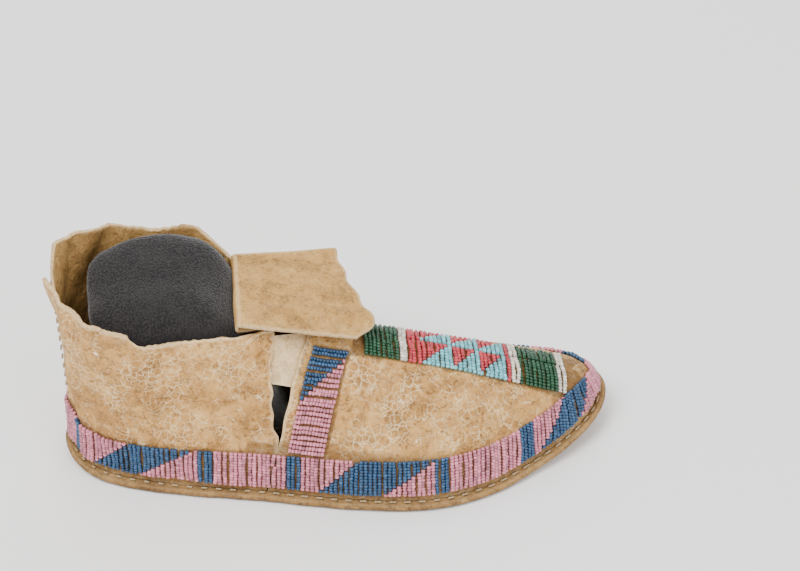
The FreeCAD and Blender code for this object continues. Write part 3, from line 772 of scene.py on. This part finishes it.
def sole_piece():
    """Stiff sole with a rounded, uneven edge and the turned-in lip of the upper on top of it."""
    stations = 420
    profile = [
        (7.0, 0.0), (3.5, 0.0), (1.6, 0.05), (0.7, 0.35), (0.15, 0.9), (0.0, 1.6), (0.25, 2.2),
        (0.9, 2.75), (1.7, 2.95), (2.4, 2.7), (2.9, 2.75), (4.5, 3.0), (9.0, 3.0),
    ]
    verts = []
    for k in range(stations):
        s = k / stations
        wave = 0.35 * noise.noise(Vector((math.cos(2 * math.pi * s) * 9, math.sin(2 * math.pi * s) * 9, 1)))
        for inset, z in profile:
            x, y = plan(s, max(inset + wave * (1 if 0.1 < inset < 3 else 0), 0.0))
            flat = lift(x)
            bump = 0.18 * noise.noise(Vector((x / 3.1, y / 3.1, z))) if z > 0.2 else 0.0
            verts.append((x, y, flat + z + bump))
    count = len(profile)
    faces = []
    for k in range(stations):
        following = (k + 1) % stations
        for j in range(count - 1):
            faces.append((k * count + j, following * count + j, following * count + j + 1,
                          k * count + j + 1))
    obj = make_object("sole_rawhide", verts, faces)
    bm = bmesh.new()
    bm.from_mesh(obj.data)
    bm.verts.ensure_lookup_table()
    for ring in (0, count - 1):
        edges = []
        for k in range(stations):
            a = bm.verts[k * count + ring]
            b = bm.verts[((k + 1) % stations) * count + ring]
            edges.append(bm.edges.get((a, b)))
        bmesh.ops.triangle_fill(bm, use_beauty=True, edges=edges)
    bmesh.ops.recalc_face_normals(bm, faces=bm.faces)
    for f in bm.faces:
        f.smooth = len(f.verts) == 4
    bm.to_mesh(obj.data)
    bm.free()
    p = points_of(obj)
    set_attribute(obj, "edge", 0.35 * smoothstep(2.0, 2.9, p[:, 2] - np.array([lift(x) for x in p[:, 0]])))
    # the sole's edge is painted darker towards the bottom: painted shade next to the floor, together with
    # grime
    set_attribute(obj, "grime_and_shade", smoothstep(1.6, 0.2, p[:, 2]) * 0.8)
    dress(obj, RAWHIDE)
    return obj


# ---------------------------------------------------------------- beads


def rods_of(node):
    """Start, end and radius in mm of each straight bead row of a CAD node."""
    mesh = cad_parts[node].data
    bm = bmesh.new()
    bm.from_mesh(mesh)
    bmesh.ops.remove_doubles(bm, verts=bm.verts, dist=0.000002)
    seen = set()
    rods = []
    for seed in bm.verts:
        if seed.index in seen or not seed.link_faces:
            continue
        island = []
        stack = [seed]
        seen.add(seed.index)
        while stack:
            v = stack.pop()
            island.append(tuple(v.co))
            for e in v.link_edges:
                w = e.other_vert(v)
                if w.index not in seen:
                    seen.add(w.index)
                    stack.append(w)
        pts = np.array(island) / MM
        centre = (pts.max(0) + pts.min(0)) / 2
        centre = pts.mean(0)
        values, axes = np.linalg.eigh(np.cov((pts - centre).T))
        odd = 0 if values[1] - values[0] > values[2] - values[1] else 2
        axis = axes[:, odd]
        reach = (pts - centre) @ axis
        off = np.linalg.norm((pts - centre) - reach[:, None] * axis, axis=1)
        rods.append((centre + axis * reach.min(), centre + axis * reach.max(), off.max()))
    bm.free()
    return rods


BEAD_LONG = 1.42
RING = [(-0.5, 0.58), (-0.36, 0.92), (0.0, 1.0), (0.36, 0.92), (0.5, 0.58)]
SPOKES = 8


def bead_mesh(name, beads, material):
    """One mesh of rounded glass beads; beads holds centre, axis, radius, length and tint."""
    count = len(beads)
    per = len(RING) * SPOKES
    verts = np.zeros((count, per, 3))
    tints = np.zeros((count, per))
    angles = np.arange(SPOKES) * 2 * math.pi / SPOKES
    for k, (centre, axis, radius, length, tint) in enumerate(beads):
        helper = np.array([0.0, 0.0, 1.0]) if abs(axis[2]) < 0.8 else np.array([1.0, 0.0, 0.0])
        u = np.cross(axis, helper)
        u /= np.linalg.norm(u)
        w = np.cross(axis, u)
        for j, (along, wide) in enumerate(RING):
            ring = np.outer(np.cos(angles), u) + np.outer(np.sin(angles), w)
            verts[k, j * SPOKES:(j + 1) * SPOKES] = centre + axis * along * length + ring * radius * wide
        tints[k] = tint
    faces = []
    for k in range(count):
        o = k * per
        for j in range(len(RING) - 1):
            for i in range(SPOKES):
                a = o + j * SPOKES + i
                b = o + j * SPOKES + (i + 1) % SPOKES
                faces.append((a, b, b + SPOKES, a + SPOKES))
        faces.append(tuple(o + i for i in reversed(range(SPOKES))))
        last = o + (len(RING) - 1) * SPOKES
        faces.append(tuple(last + i for i in range(SPOKES)))
    obj = make_object(name, verts.reshape(-1, 3), faces, True, {"tint": tints.ravel()})
    dress(obj, material)
    return obj


def strung(rods, surface, sag):
    """Beads along each row, laid on the hide with a little looseness."""
    beads = []
    for start, end, radius in rods:
        axis = end - start
        length = np.linalg.norm(axis)
        axis /= length
        number = max(1, int(round(length / BEAD_LONG)))
        pitch = length / number
        row_tint = RANDOM.normal(0, 0.09)
        side_slip = RANDOM.normal(0, 0.20)
        bend = RANDOM.normal(0, sag)
        for k in range(number):
            t = (k + 0.5) / number
            p = start + axis * length * t
            hit = surface.find_nearest(Vector(p) * MM)
            normal = np.array(hit[1])
            away = p * MM - np.array(hit[0])
            if np.dot(away, normal) < 0:
                normal = -normal
            across = np.cross(axis, normal)
            across /= max(np.linalg.norm(across), 1e-6)
            grow = RANDOM.normal(1.0, 0.045)
            centre = np.array(hit[0]) / MM + normal * (radius * grow + 0.12)
            centre = centre + across * (side_slip + bend * math.sin(math.pi * t)
                                        + RANDOM.normal(0, 0.07))
            tilt = axis + across * RANDOM.normal(0, 0.08) + normal * RANDOM.normal(0, 0.05)
            tilt /= np.linalg.norm(tilt)
            tint = float(np.clip(0.5 + row_tint + RANDOM.normal(0, 0.17), 0, 1))
            beads.append((centre, tilt, radius * grow * 1.04, pitch * 0.97, tint))
    return beads


# ---------------------------------------------------------------- padded insert


def node_copy(node, name):
    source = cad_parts[node]
    mesh = source.data.copy()
    mesh.name = name
    mesh.transform(source.matrix_world)
    mesh.materials.clear()
    obj = bpy.data.objects.new(name, mesh)
    bpy.context.scene.collection.objects.link(obj)
    return obj


def bake_modifiers(obj):
    depsgraph = bpy.context.evaluated_depsgraph_get()
    mesh = bpy.data.meshes.new_from_object(obj.evaluated_get(depsgraph))
    obj.modifiers.clear()
    obj.data = mesh


def weld_skin(obj):
    """Joins the faces of a CAD solid's mesh into one closed skin."""
    bm = bmesh.new()
    bm.from_mesh(obj.data)
    bmesh.ops.remove_doubles(bm, verts=bm.verts, dist=0.00001)
    bmesh.ops.recalc_face_normals(bm, faces=bm.faces)
    bm.to_mesh(obj.data)
    bm.free()


def pillow(obj, cell, pressure, most):
    """Even mesh, filled from inside by a short cloth simulation, moved no more than most."""
    remesh = obj.modifiers.new("even", "REMESH")
    remesh.mode = "VOXEL"
    remesh.voxel_size = cell * MM
    bake_modifiers(obj)
    rest = points_of(obj).copy()
    scene = bpy.context.scene
    scene.frame_start, scene.frame_end = 1, 20
    cloth = obj.modifiers.new("cloth", "CLOTH")
    cloth.settings.quality = 6
    cloth.settings.mass = 0.2
    cloth.settings.tension_stiffness = 15
    cloth.settings.compression_stiffness = 15
    cloth.settings.shear_stiffness = 8
    cloth.settings.bending_stiffness = 0.6
    cloth.settings.use_pressure = True
    cloth.settings.uniform_pressure_force = pressure
    cloth.settings.effector_weights.gravity = 0
    cloth.collision_settings.use_self_collision = False
    cloth.point_cache.frame_start = 1
    cloth.point_cache.frame_end = 20
    for step in range(1, 21):
        scene.frame_set(step)
    bake_modifiers(obj)
    scene.frame_set(1)
    moved = points_of(obj) - rest
    reach = np.linalg.norm(moved, axis=1, keepdims=True)
    scaled = moved * np.minimum(1.0, most / np.maximum(reach, 1e-9))
    move_points(obj, rest + scaled)
    smooth = obj.modifiers.new("round", "SMOOTH")
    smooth.factor = 0.5
    smooth.iterations = 3
    fine = obj.modifiers.new("fine", "SUBSURF")
    fine.levels = fine.render_levels = 1
    bake_modifiers(obj)
    obj.data.polygons.foreach_set("use_smooth", [True] * len(obj.data.polygons))


def insert_pieces():
    cover = node_copy("insert_cover", "insert_knit")
    weld_skin(cover)
    pillow(cover, 4.0, 2.0, 1.2)
    p = points_of(cover)
    n = normals_of(cover)
    folds = cloud(p, 26.0, 81, 2) * 0.7 + cloud(p, 9.0, 82, 2) * 0.25
    p = p + n * folds[:, None]
    # above the rim of the shoe the padding swells toward the collar, most at the back and inside
    up = smoothstep(66.0, 88.0, p[:, 2])
    swell = np.array([1.14, 1.10])
    middle = np.array([-76.0, 13.0])
    p[:, :2] += (p[:, :2] - middle) * (swell - 1) * up[:, None]
    p[:, 2] += up * (6.5 * smoothstep(0.0, 34.0, p[:, 1]) + 1.5)
    move_points(cover, p)
    bm = bmesh.new()
    bm.from_mesh(cover.data)
    below = [v for v in bm.verts if v.co.z < 0.042]
    bmesh.ops.delete(bm, geom=below, context="VERTS")
    bm.to_mesh(cover.data)
    bm.free()
    dress(cover, KNIT, KNIT, KNIT)
    thicken(cover, 0.8)
    filling = node_copy("insert_padding", "insert_batting")
    weld_skin(filling)
    pillow(filling, 4.5, 1.0, 0.8)
    p = points_of(filling)
    n = normals_of(filling)
    lumps = cloud(p, 14.0, 91, 3) * 0.6 - 0.4
    p = p + n * lumps[:, None]
    # the stuffing reaches a little way up inside the knit
    p[:, 2] += 4.0 * smoothstep(26.0, 38.0, p[:, 2])
    move_points(filling, p)
    dress(filling, BATTING)
    return cover, filling


def insert_thread(cover):
    """A thin dark sewing thread lying along the inner edge of the knit."""
    bm = bmesh.new()
    bm.from_mesh(cover.data)
    tree = BVHTree.FromBMesh(bm)
    bm.free()
    path = []
    for k in range(61):
        t = k / 60
        x = -112 + 52 * t
        y = 30.0 + 5.5 * math.sin(t * math.pi * 0.8) + 0.6 * math.sin(t * 29)
        hit = tree.ray_cast(Vector((x, y, 140)) * MM, Vector((0, 0, -1)))
        if hit[0] is not None:
            path.append(np.array(hit[0]) / MM + np.array([0, 0, 0.25]))
    verts, faces = tube(path, 0.35, 6)
    obj = make_object("insert_thread", verts, faces)
    dress(obj, THREAD)
    return obj


def tube(path, radius, sides):
    path = np.array(path)
    tangents = np.gradient(path, axis=0)
    verts, faces = [], []
    for k, (p, t) in enumerate(zip(path, tangents)):
        t = t / np.linalg.norm(t)
        u = np.cross(t, [0, 1, 0])
        u /= np.linalg.norm(u)
        w = np.cross(t, u)
        for i in range(sides):
            a = 2 * math.pi * i / sides
            verts.append(p + (u * math.cos(a) + w * math.sin(a)) * radius)
        if k:
            for i in range(sides):
                a = (k - 1) * sides + i
                b = (k - 1) * sides + (i + 1) % sides
                faces.append((a, b, b + sides, a + sides))
    faces.append(tuple(reversed(range(sides))))
    faces.append(tuple(len(verts) - sides + i for i in range(sides)))
    return verts, faces


# ---------------------------------------------------------------- putting the pieces on

vamp = front_sheet()
near_quarter = rear_sheet("quarter_near_hide", False, 11)
far_quarter = rear_sheet("quarter_far_hide", True, 21)
gusset = gusset_sheet()
tongue = base_sheet()
flap = flap_sheet()
fold = fold_sheet()
thong = thong_sheet()
sole = sole_piece()

for obj, node in ((vamp, "vamp"), (near_quarter, "quarter_near"), (far_quarter, "quarter_far"),
                  (tongue, "tongue_base"), (thong, "tie_thong")):
    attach(obj, "shoe")
    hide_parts(node)
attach(gusset, "shoe")
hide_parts("gusset_near")
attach(sole, "shoe")
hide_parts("sole")
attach(flap, "tongue")
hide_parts("tongue_flap")
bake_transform(fold)


def hide_surface(*objects):
    """Outer skin of the given sheets, for laying beads on."""
    points, polygons = [], []
    for obj in objects:
        base = len(points)
        points += [Vector(v.co) for v in obj.data.vertices]
        polygons += [tuple(base + i for i in p.vertices) for p in obj.data.polygons]
    return BVHTree.FromPolygons(points, polygons)


SURFACE = hide_surface(vamp, near_quarter, far_quarter)
PALETTE = {
    "band_beads_pink": "pink", "band_beads_blue": "blue",
    "strip_near_beads_pink": "pink", "strip_near_beads_blue": "blue",
    "strip_far_beads_pink": "pink", "strip_far_beads_blue": "blue",
    "instep_beads_green": "green", "instep_beads_white": "white",
    "instep_beads_red": "red", "instep_beads_turquoise": "turquoise",
}
for node, colour in PALETTE.items():
    beads = strung(rods_of(node), SURFACE, 0.30)
    limit = 2500
    for part, first in enumerate(range(0, len(beads), limit)):
        piece_name = node.replace("_beads_", "_glass_") + ("" if part == 0 else "_%d" % (part + 1))
        obj = bead_mesh(piece_name, beads[first:first + limit], BEADS[colour])
        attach(obj, "shoe")
        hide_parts(node)

for node in ("sole_seam_stitches", "heel_seam_stitches", "side_seam_stitches", "throat_stitches"):
    dress(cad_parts[node], SINEW)

knit, batting = insert_pieces()
thread = insert_thread(knit)
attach(knit, "display_insert")
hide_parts("insert_cover")
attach(batting, "display_insert")
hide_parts("insert_padding")
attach(thread, "display_insert")

# ---------------------------------------------------------------- floor, light and camera


def plain_floor():
    side = 4.0
    mesh = bpy.data.meshes.new("floor")
    mesh.from_pydata([(-side, -side, 0), (side, -side, 0), (side, side, 0), (-side, side, 0)], [],
                     [(0, 1, 2, 3)])
    obj = bpy.data.objects.new("floor", mesh)
    obj.location.z = -0.0004
    bpy.context.scene.collection.objects.link(obj)
    nodes = Nodes("floor_paper")
    nodes.shader.inputs["Base Color"].default_value = (0.95, 0.95, 0.95, 1)
    nodes.shader.inputs["Roughness"].default_value = 0.9
    dress(obj, nodes.material)


def soft_light(name, place, size, power, colour=(1, 1, 1)):
    lamp = bpy.data.lights.new(name, "AREA")
    lamp.shape = "DISK"
    lamp.size = size
    lamp.energy = power
    lamp.color = colour
    obj = bpy.data.objects.new(name, lamp)
    obj.location = place
    toward = Vector((0, 0, 0.04)) - Vector(place)
    obj.rotation_euler = toward.to_track_quat("-Z", "Y").to_euler()
    bpy.context.scene.collection.objects.link(obj)


plain_floor()
soft_light("key", (-0.55, -0.55, 1.25), 0.9, 22.0, (1.0, 0.985, 0.96))
soft_light("fill", (0.9, -0.9, 0.8), 1.4, 9.0)
soft_light("back", (0.2, 1.1, 1.0), 1.2, 9.0)

world = bpy.data.worlds.new("studio")
world.use_nodes = True
world.node_tree.nodes["Background"].inputs["Color"].default_value = (1, 1, 1, 1)
world.node_tree.nodes["Background"].inputs["Strength"].default_value = 0.95
bpy.context.scene.world = world

TURN = math.radians(-5.1)
SHIFT = Vector((0.0285, 0.1218, 0.0))
VIEW_DOWN = math.radians(36.0)
DISTANCE = 1.3
eye = Vector((0, -DISTANCE * math.cos(VIEW_DOWN), DISTANCE * math.sin(VIEW_DOWN)))
turn = Matrix.Rotation(TURN, 3, "Z")
camera = bpy.data.cameras.new("camera")
camera.lens = 117.8
camera.sensor_width = 36.0
camera_object = bpy.data.objects.new("camera", camera)
camera_object.location = turn @ (eye + SHIFT)
direction = (turn @ SHIFT) - camera_object.location
camera_object.rotation_euler = direction.to_track_quat("-Z", "Y").to_euler()
bpy.context.scene.collection.objects.link(camera_object)
bpy.context.scene.camera = camera_object
